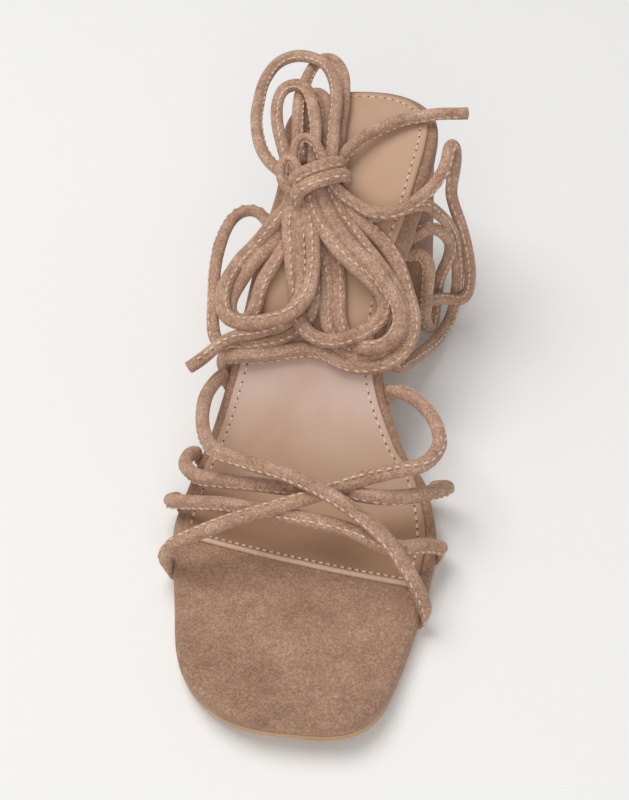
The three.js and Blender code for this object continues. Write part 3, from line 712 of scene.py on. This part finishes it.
# Where the seam lies from the side that looks up, how the cord ends, and the solids it stands for
tie_facts = {
    "back_wide": (0.3, "object", ["tie_loops_back"]),
    "back_tall": (0.0, "object", []),
    "back_small": (-0.4, "object", []),
    "back_short": (0.2, "object", []),
    "inner_end": (0.3, "bare", ["tie_inner_end"]),
    "big_left": (-0.5, "object", ["tie_loops_front"]),
    "outer_end": (-0.9, "bare", ["tie_outer_end"]),
    "small_left": (0.3, "object", []),
    "middle": (-0.5, "object", []),
    "right": (0.2, "object", []),
    "right_low": (-0.6, "object", []),
    "outer": (0.4, "object", ["tie_outer"]),
    "arch_loop": (-0.1, "object", ["tie_inner_loop", "tie_loops_side"]),
    "arch_bight": (0.3, "object", ["tie_arch_loop"]),
    "outer_arc": (0.2, "object", ["tie_outer_arc"]),
    "inner": (-0.3, "object", ["tie_inner"]),
}
tie_wide = 4.4
tie_thick = 3.8
bundle_wide = 5.2
bundle_cords = ("middle", "right", "right_low", "outer", "big_left", "small_left")


# The knot: turns of cord round the bundle, and two small loops tucked under them
wrap_centre = np.array([-11.2, -27.0, 72.8])
wrap_along = unit((-0.42, 0.83, 0.36))
wrap_wide = 19.0
wrap_thick = 12.5
wrap_turns = 2.05
wrap_lean = 4.9
wrap_square = 0.72
wrap_cord_wide = 5.0
wrap_cord_thick = 4.3
tuck_wide = 3.4
tuck_thick = 3.0
knot_tucks = [
    [(-18.5, -30, 74), (-20, -24.5, 78.5), (-20, -20, 81), (-19.3, -16.8, 82.4), (-17.3, -15.3, 82.8),
     (-14.8, -15.8, 82.8), (-12.4, -18.3, 82.2), (-10.6, -21.6, 81), (-9.2, -23.5, 78.5), (-8.8, -25, 74.5)],
    [(-20, -34, 73.5), (-23, -31.5, 76.8), (-23.6, -28.5, 79.2), (-23, -25.6, 80.4), (-21, -24.6, 80.9),
     (-19, -26.4, 80.4), (-17.6, -28.6, 78.8), (-16.5, -30.5, 75)],
]


def wrap_line():
    across = unit(np.cross(wrap_along, (0.0, 0.0, 1.0)))
    up = np.cross(across, wrap_along)
    t = np.linspace(0.0, wrap_turns, 200)
    angle = -2 * math.pi * (t + 0.3)
    right = np.sign(np.cos(angle)) * np.abs(np.cos(angle)) ** wrap_square
    high = np.sign(np.sin(angle)) * np.abs(np.sin(angle)) ** wrap_square
    lean = (t - wrap_turns / 2) * wrap_lean
    return (wrap_centre + np.outer(right * wrap_wide / 2, across) + np.outer(high * wrap_thick / 2, up)
            + np.outer(lean, wrap_along))


def joined(parts):
    """One mesh from several sets of points, faces and material numbers."""
    verts, faces, indices = [], [], []
    total = 0
    for more_verts, more_faces, more_indices in parts:
        verts.append(more_verts)
        faces += [tuple(total + corner for corner in face) for face in more_faces]
        indices += list(more_indices)
        total += len(more_verts)
    return np.vstack(verts), faces, indices


def make_knot():
    turns = even(relax(even(wrap_line(), cord_step), 6), cord_step)
    parts = [tube(turns, wrap_cord_wide, wrap_cord_thick, -0.35, wave=0.3)]
    for tuck in knot_tucks:
        parts.append(tube(even(catmull(tuck), cord_step), tuck_wide, tuck_thick, 0.9))
    verts, faces, indices = joined(parts)
    return link_mesh("knot_wrap", verts, faces, [cord_suede, thread], indices)


knot_piece = make_knot()
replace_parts(knot_piece, "tie_knot")
for name, raw in tie_lines.items():
    seam, ending, nodes = tie_facts[name]
    line = even(catmull(raw, 6), cord_step)
    wide = bundle_wide if name in bundle_cords else tie_wide
    verts, faces, indices = tube(line, wide, tie_thick, seam)
    piece = link_mesh("cord_" + name, verts, faces, [cord_suede, thread], indices)
    if nodes:
        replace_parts(piece, *nodes)
    centres = even(catmull(raw, 6), 2 * cord_step) * MM

# Straps: start and end (side, share of the length), then stops (share along, across in ball
# widths, rise above the bed in strap rises)
strap_rows = {
    "strap_a": ((-1, 0.4496), (1, 0.796), [
        (0.499, -0.496, 0.36), (0.547, -0.493, 0.6), (0.589, -0.463, 0.77), (0.62, -0.41, 0.87),
        (0.645, -0.28, 0.95), (0.666, -0.121, 0.985), (0.691, 0.023, 0.985), (0.722, 0.159, 0.945),
        (0.75, 0.27, 0.8), (0.773, 0.342, 0.58), (0.791, 0.395, 0.33)]),
    "strap_b": ((1, 0.458), (-1, 0.746), [
        (0.474, 0.266, 0.2), (0.509, 0.351, 0.47), (0.548, 0.408, 0.67), (0.587, 0.424, 0.8),
        (0.622, 0.376, 0.87), (0.639, 0.274, 0.9), (0.66, 0.133, 0.885), (0.685, 0.005, 0.855),
        (0.708, -0.146, 0.8), (0.727, -0.286, 0.73), (0.742, -0.413, 0.6), (0.749, -0.508, 0.43),
        (0.752, -0.552, 0.22)]),
    "strap_c": ((-1, 0.557), (1, 0.586), [
        (0.569, -0.55, 0.12), (0.594, -0.555, 0.24), (0.623, -0.49, 0.38), (0.641, -0.37, 0.52),
        (0.655, -0.22, 0.64), (0.666, -0.071, 0.72), (0.669, 0.086, 0.76), (0.671, 0.208, 0.73),
        (0.655, 0.313, 0.6), (0.627, 0.407, 0.42), (0.6, 0.462, 0.2)]),
    "strap_d": ((-1, 0.6307), (1, 0.6856), [
        (0.646, -0.594, 0.12), (0.665, -0.499, 0.32), (0.683, -0.361, 0.52), (0.701, -0.226, 0.65),
        (0.711, -0.091, 0.69), (0.72, 0.04, 0.7), (0.731, 0.152, 0.69), (0.746, 0.257, 0.65),
        (0.736, 0.333, 0.52), (0.714, 0.4, 0.34), (0.699, 0.444, 0.16)]),
}
strap_seams = {"strap_a": 0.1, "strap_b": -0.3, "strap_c": 0.3, "strap_d": -0.1}
# The flat end of a strap: from out past the rim, down and in between footbed and outsole.
# Each stop is a distance out from the footbed's edge and a depth below its top.
strap_end_stops = [(1.5, 0.6), (1.05, 3.0), (0.6, 4.8), (-1.4, 5.4), (-5.0, 5.0)]
strap_wide = 5.1
strap_thick = 4.7
strap_flat_wide = 6.4
strap_flat_thick = 1.7
strap_flat_from = 13.0
strap_flat_by = 6.0


def beside_edge(side, along, out, depth):
    distance = along * shoe_length
    x = side * (float(edge(side, distance, 0.0)) + out)
    return (x, heel_centre - distance, float(bed_below(distance, depth)))


def make_strap(name, start, end, stops):
    points = [beside_edge(*start, out, depth) for out, depth in reversed(strap_end_stops)]
    for along, across, rise in stops:
        distance = along * shoe_length
        z = float(bed_top(distance)) + rise * strap_rise
        points.append((across * ball_width, heel_centre - distance, z))
    points += [beside_edge(*end, out, depth) for out, depth in strap_end_stops]
    line = even(relax(even(catmull(points), cord_step), 4), cord_step)
    at = np.arange(len(line)) * line_length(line) / (len(line) - 1)
    from_end = np.minimum(at, at[-1] - at)
    flat = 1.0 - smoothstep((from_end - strap_flat_by) / (strap_flat_from - strap_flat_by))
    wide = strap_wide + (strap_flat_wide - strap_wide) * flat
    thick = strap_thick + (strap_flat_thick - strap_thick) * flat
    # Thick lies along the way out of the arch, so that the flat end lies on the rim
    tangent = unit(np.gradient(line, axis=0))
    middle = np.array([0.0, heel_centre - 0.66 * shoe_length, 4.0])
    outward = line - middle
    outward[:, 1] = 0.0
    outward[:, 2] = np.maximum(outward[:, 2], 0.0) * (1.0 - flat)
    up = unit(outward - (outward * tangent).sum(axis=1, keepdims=True) * tangent)
    for _ in range(12):
        up[1:-1] = up[1:-1] + up[:-2] + up[2:]
        up = unit(up - (up * tangent).sum(axis=1, keepdims=True) * tangent)
    side = np.cross(tangent, up)
    # The seam lies on the side that looks up and toward the toe
    way = np.arctan2((side * seam_way).sum(axis=1), (up * seam_way).sum(axis=1))
    seam = float(np.median(way)) + strap_seams[name]
    verts, faces, indices = tube(line, wide, thick, seam, wave=0.2, frames=(tangent, side, up),
                                 stitch_from=strap_flat_by, stitch_to=at[-1] - strap_flat_by)
    return link_mesh(name, verts, faces, [cord_suede, thread], indices)


for name, (start, end, stops) in strap_rows.items():
    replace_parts(make_strap(name, start, end, stops), "upper_straps")


# Layers of the sole: closed lofts of a rounded profile round the outline
top_columns = 14


def end_shares(count):
    """Shares from 0 to 1, close together at 0."""
    return 1.0 - np.cos(0.5 * math.pi * np.linspace(0.004, 1.0, count) ** 1.5)


def stations(heel_count=44, middle_count=150, toe_count=60):
    """Shares of the length, close together at the round ends."""
    heel_share = seat_round / shoe_length
    toe_share = toe_round_start / shoe_length
    near_heel = end_shares(heel_count)
    near_toe = end_shares(toe_count)
    return np.concatenate([
        heel_share * near_heel[:-1],
        np.linspace(heel_share, toe_share, middle_count),
        (1.0 - (1.0 - toe_share) * near_toe[:-1])[::-1],
    ])


def rounded_rows(inset, low, high, low_round, high_round, steps=5):
    """Rows of inset and depth from the bottom face, round the side, to the top face."""
    rows = []
    for i in range(steps + 1):
        angle = 0.5 * math.pi * i / steps
        rows.append((inset + low_round * (1 - math.sin(angle)), low - low_round * (1 - math.cos(angle))))
    for i in range(steps + 1):
        angle = 0.5 * math.pi * i / steps
        rows.append((inset + high_round * (1 - math.cos(angle)), high + high_round * (1 - math.sin(angle))))
    return rows


def paired_cap(start, rows, columns):
    """Faces across a ring, from each row of its one side to the same row of the other side."""
    far = 2 * rows + columns - 1
    faces = [[i, i + 1, far - i - 1, far - i] for i in range(rows - 1)]
    faces[-1][2:2] = range(rows, rows + columns)
    return [[start + corner for corner in face] for face in faces]


def loft(rings, rows, columns=0):
    """Closed mesh through rings of equal count. A ring has rows of points up the one side, columns
    over the top, rows down the other side and as many columns back."""
    count = len(rings[0])
    verts = np.vstack(rings)
    faces = []
    for i in range(len(rings) - 1):
        for j in range(count):
            k = (j + 1) % count
            faces.append((i * count + j, i * count + k, (i + 1) * count + k, (i + 1) * count + j))
    for start, way in ((0, -1), ((len(rings) - 1) * count, 1)):
        cap = paired_cap(start, rows, columns)
        far = 2 * rows + columns
        cap[0] += range(start + far, start + far + columns)
        faces += [face[::way] for face in cap]
    return verts, faces


def layer_rings(rows):
    """Rings across the shoe: up the outer side, over the top, down the inner side and back."""
    share = stations()
    rings = []
    insets = np.array([row[0] for row in rows])
    depths = np.array([row[1] for row in rows])
    for s in share:
        d = insets + s * (shoe_length - 2 * insets)
        outer = np.stack([-edge(-1, d, insets), heel_centre - d, bed_below(d, depths)], axis=1)
        inner = np.stack([edge(1, d, insets), heel_centre - d, bed_below(d, depths)], axis=1)
        across = np.linspace(0.0, 1.0, top_columns + 2)[1:-1, None]
        top = outer[-1] + across * (inner[-1] - outer[-1])
        low = inner[0] + across * (outer[0] - inner[0])
        rings.append(np.vstack([outer, top, inner[::-1], low]))
    return rings


def make_layer(name, node, rows, material):
    verts, faces = loft(layer_rings(rows), len(rows), top_columns)
    piece = link_mesh(name, verts, faces, [material], None)
    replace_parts(piece, node)


make_layer("wrapped_footbed", "footbed",
           rounded_rows(0.0, footbed_thickness, 0.0, 1.3, 2.2), wrap_suede)
sole_top = footbed_thickness + fit_gap
make_layer("tan_sole", "outsole",
           rounded_rows(outsole_inset, sole_top + outsole_thickness, sole_top, 0.7, 0.35),
           outsole_edge)


# Sock: a grid from the heel to the slanting front edge, with a stitched channel round it
sock_lift = fit_gap + sock_thickness
sock_stitch_inset = 2.6
sock_stitch_pitch = 3.1
sock_stitch_long = 2.1
front_stitch_inset = 2.1
front_stitch_pitch = 2.4
front_strip = 1.15
sock_length = 166.0
sock_thread_wide = 0.95
sock_thread_high = 0.44
pit_radius = 0.36
sock_rim = [0.0, 0.0, 0.12, 0.4, 0.9, 1.6, 2.1, 2.6, 3.1, 3.6, 4.6]
front_rim = [0.0, 0.0, 0.12, 0.4, 0.8, front_strip, 1.35, 1.7, 2.1, 2.5, 2.9, 4.0]


def sock_front(x):
    t = np.clip((np.asarray(x, float) / (0.5 * ball_width) + 1.0) / 2.0, 0.0, 1.0)
    middle = (sock_front_outer + sock_front_inner) / 2 + sock_front_bulge
    return sock_front_outer * (1 - t) ** 2 + 2 * t * (1 - t) * middle + sock_front_inner * t ** 2


def rim_drop(reach, stitch_at):
    """How far the sock's top lies below its flat height near its edge."""
    reach = np.asarray(reach, float)
    roll = 0.75 * np.clip(1.0 - reach / 0.9, 0.0, 1.0) ** 2.2
    groove = 0.26 * np.exp(-((reach - stitch_at) / 0.42) ** 2)
    hollow = 0.12 * smoothstep((reach - stitch_at) / 2.0)
    return roll + groove + hollow


def sock_limits(inset, shares):
    """Distance from the heel end at which each column of the sock's grid meets its front edge."""
    limit = np.full(len(inset), sock_length)
    for _ in range(8):
        limit = sock_front(lateral(limit, inset, shares))
    return limit


def lateral(distance, inset, share):
    outer = -edge(-1, distance, inset)
    inner = edge(1, distance, inset)
    return outer + (inner - outer) * share


def make_sock():
    rim = np.array(sock_rim)
    inside = np.linspace(0.0, 1.0, 20)[1:-1]
    insets = np.concatenate([rim, np.full(len(inside), rim[-1]), rim[::-1]])
    shares = np.concatenate([np.zeros(len(rim)), inside, np.ones(len(rim))])
    inset = sock_inset + insets
    limit = sock_limits(inset, shares)
    backs = np.array(front_rim)[::-1]
    lengthwise = end_shares(44)
    heel_share = seat_round / sock_length
    main = np.concatenate([heel_share * lengthwise, np.linspace(heel_share, 1.0, 90)[1:]])
    rows = []
    for share in main:
        distance = inset + share * (limit - backs[0] - inset)
        rows.append((distance, limit - distance))
    for back in backs[1:]:
        rows.append((limit - back, np.full(len(insets), back)))
    verts = []
    for distance, reach in rows:
        x = lateral(distance, inset, shares)
        side_reach = np.minimum(insets, distance - sock_inset)
        drop = np.maximum(rim_drop(side_reach, sock_stitch_inset), rim_drop(reach, front_stitch_inset))
        verts.append(np.stack([x, heel_centre - distance, bed_below(distance, drop - sock_lift)], axis=1))
    grid = np.array(verts)
    skirt = bed_below(heel_centre - grid[:, :, 1], -0.05)
    grid[:, 0, 2] = skirt[:, 0]
    grid[:, -1, 2] = skirt[:, -1]
    grid[-1, :, 2] = skirt[-1]
    count = len(insets)
    faces = []
    indices = []
    last_rows = len(rows) - 1 - front_rim.index(front_strip)
    for i in range(len(rows) - 1):
        for j in range(count - 1):
            a = i * count + j
            faces.append((a, a + count, a + count + 1, a + 1))
            indices.append(2 if i >= last_rows else 0)
    # The under side joins the two borders row by row
    for i in range(len(rows) - 1):
        a = i * count
        faces.append((a, a + count - 1, a + 2 * count - 1, a + count))
        indices.append(0)
    for start, way in ((0, 1), ((len(rows) - 1) * count, -1)):
        cap = paired_cap(start, len(rim), len(inside))
        faces += [face[::way] for face in cap]
        indices += [0] * len(cap)
    parts = [grid.reshape(-1, 3)]
    total = len(rows) * count
    for body, quads, kind in sock_stitches():
        parts.append(np.array(body))
        for quad in quads:
            faces.append(tuple(total + q for q in quad))
            indices.append(kind)
        total += len(body)
    piece = link_mesh("stitched_sock", np.vstack(parts), faces, [sock_leather, thread, cut_edge, painted_pit_shade],
                      indices)
    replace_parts(piece, "insole_sock")


def sock_line(points):
    """Points on the sock's channel, from x and distance pairs."""
    points = np.asarray(points)
    depth = 0.22 - sock_lift
    return np.stack([points[:, 0], heel_centre - points[:, 1], bed_below(points[:, 1], depth)], axis=1)


def along_line(line, pitch, long):
    """Stitches and the pits between them, on a line that lies on the sock. The pits are dark discs of
    painted shade for the needle holes.
    """
    line = even(line, 0.4)
    tangent = unit(np.gradient(line, axis=0))
    at = np.arange(len(line)) * line_length(line) / (len(line) - 1)
    for place in np.arange(pitch, at[-1] - 0.6 * pitch, pitch):
        i = int(np.searchsorted(at, place))
        distance = heel_centre - line[i, 1]
        up = unit(np.array([0.0, float(bed_slope(distance)), 1.0]))
        across = np.cross(up, tangent[i])
        yield (*stitch_body(line[i], tangent[i], across, up, long, sock_thread_wide, sock_thread_high), 1)
        # The pit: a small dark disc, painted shade of a needle hole
        pit_at = line[min(i + int(0.5 * pitch / 0.4), len(line) - 1)]
        rings = [pit_at + up * lift + pit_radius * (math.cos(a) * tangent[i] + math.sin(a) * across)
                 for lift in (-0.1, 0.06) for a in np.arange(6) * math.pi / 3]
        walls = [(a, (a + 1) % 6, (a + 1) % 6 + 6, a + 6) for a in range(6)]
        yield rings, [(5, 4, 3, 2, 1, 0), (6, 7, 8, 9, 10, 11), *walls], 3


def sock_stitches():
    reach = sock_inset + sock_stitch_inset
    distance = np.concatenate([
        reach + (seat_round - reach) * (1 - np.cos(np.linspace(0.0, 0.5 * math.pi, 60))),
        np.linspace(seat_round, sock_front_inner - 1.0, 200)[1:]])
    sides = {}
    for side in (-1, 1):
        x = side * edge(side, distance, reach)
        keep = distance < sock_front(x) - front_stitch_inset - 0.4
        sides[side] = np.stack([x[keep], distance[keep]], axis=1)
    round_line = np.vstack([sides[-1][::-1], sides[1][1:]])
    yield from along_line(sock_line(round_line), sock_stitch_pitch, sock_stitch_long)
    x = np.linspace(sides[-1][-1, 0], sides[1][-1, 0], 60)
    front = np.stack([x, sock_front(x) - front_stitch_inset], axis=1)
    yield from along_line(sock_line(front), front_stitch_pitch, 0.72 * front_stitch_pitch)


make_sock()


# Heel block and top piece: rings from the seat down to the floor
heel_side_points = 60


def heel_ring(level, inset, height):
    back = inset + heel_back - heel_back_slope * (1.0 - level)
    front = heel_back + heel_length - inset
    round_length = seat_round - heel_back
    angle = math.pi * (np.arange(heel_side_points + 1) + 0.2) / (heel_side_points + 0.4)
    distance = back + (front - back) * (1.0 - np.cos(angle)) / 2
    back_shape = rounded_end((back + round_length - distance) / round_length, heel_power)
    front_shape = rounded_end((distance - front + heel_corner) / heel_corner, 2.0)
    pull = 1.0 - (heel_corner * 2 / seat_width) * (1.0 - front_shape)
    sides = []
    for side, column in ((-1, 2), (1, 3)):
        seat = table_value(distance / shoe_length, column)
        half = seat + (seat_width / 2 - seat) * level - heel_inset - inset
        x = side * half * back_shape * pull
        sides.append(np.stack([x, heel_centre - distance, height(distance)], axis=1))
    return np.vstack([sides[0], sides[1][::-1]])


def link_heel(name, node, rows, material):
    verts, faces = loft([heel_ring(*row) for row in rows], heel_side_points + 1)
    piece = link_mesh(name, verts, [face[::-1] for face in faces], [material], None)
    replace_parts(piece, node)


def make_heel():
    under = footbed_thickness + outsole_thickness + 2 * fit_gap
    floor = tip_thickness + fit_gap
    rows = []
    round_edge = 0.8
    for drop in (0.0, 0.1, 0.3, 0.8):
        inset = max(round_edge - drop * 1.6, 0.0) * 0.5
        rows.append((0.0, inset, lambda d, drop=drop: bed_below(d, under + drop)))
    for level in np.linspace(0.03, 0.98, 30):
        def height(d, level=level):
            top = bed_below(d, under)
            return top + (floor - top) * level
        rows.append((level, 0.0, height))
    for drop in (0.5, 0.2, 0.0):
        inset = 0.5 * (round_edge - drop) ** 2
        rows.append((1.0, inset, lambda d, drop=drop: np.full(len(d), floor + drop)))
    link_heel("wrapped_heel", "heel_block", rows, wrap_suede)


def make_heel_tip():
    # How far each ring is drawn in past tip_inset, and its height above the floor
    stops = ((0.3, tip_thickness), (0.0, tip_thickness - 0.3), (0.0, 1.0),
             (0.05, 0.5), (0.2, 0.15), (0.4, 0.0))
    rows = [(1.0, tip_inset + more, lambda d, z=z: np.full(len(d), z)) for more, z in stops]
    link_heel("heel_top_piece", "heel_tip", rows, tip_rubber)


make_heel()
make_heel_tip()


# Floor and light
def make_floor():
    size = 3000.0
    verts = [(-size, -size, 0), (size, -size, 0), (size, size, 0), (-size, size, 0)]
    mesh = bpy.data.meshes.new("floor")
    mesh.from_pydata([(x * MM, y * MM, z * MM) for x, y, z in verts], [], [(0, 1, 2, 3)])
    material, tree, shader, place = new_material("pale_floor")
    base = ramp(tree, noise(tree, place, 3.0), [(0.3, linear(246, 246, 245)), (0.7, linear(248, 248, 247))])
    tree.links.new(base, shader.inputs["Base Color"])
    shader.inputs["Roughness"].default_value = 0.9
    shader.inputs["Specular IOR Level"].default_value = 0.1
    mesh.materials.append(material)
    floor = bpy.data.objects.new("floor", mesh)
    scene.collection.objects.link(floor)


def make_light(name, place, target, size, power, colour):
    data = bpy.data.lights.new(name, "AREA")
    data.shape = "DISK"
    data.size = size
    data.energy = power
    data.color = colour
    light = bpy.data.objects.new(name, data)
    light.location = Vector(place)
    light.rotation_euler = (Vector(target) - Vector(place)).to_track_quat("-Z", "Y").to_euler()
    scene.collection.objects.link(light)


make_floor()
light_target = (0.0, -0.08, 0.03)
make_light("key_light", (-0.4, 0.15, 1.25), light_target, 1.0, 9.9, (1.0, 0.985, 0.965))
make_light("front_fill", (0.1, -1.2, 0.8), light_target, 1.0, 6.0, (1.0, 0.99, 0.98))
world = bpy.data.worlds.new("studio")
world.use_nodes = True
world.node_tree.nodes["Background"].inputs["Color"].default_value = (0.94, 0.945, 0.96, 1.0)
world.node_tree.nodes["Background"].inputs["Strength"].default_value = 0.35
scene.world = world
scene.view_settings.view_transform = "Standard"
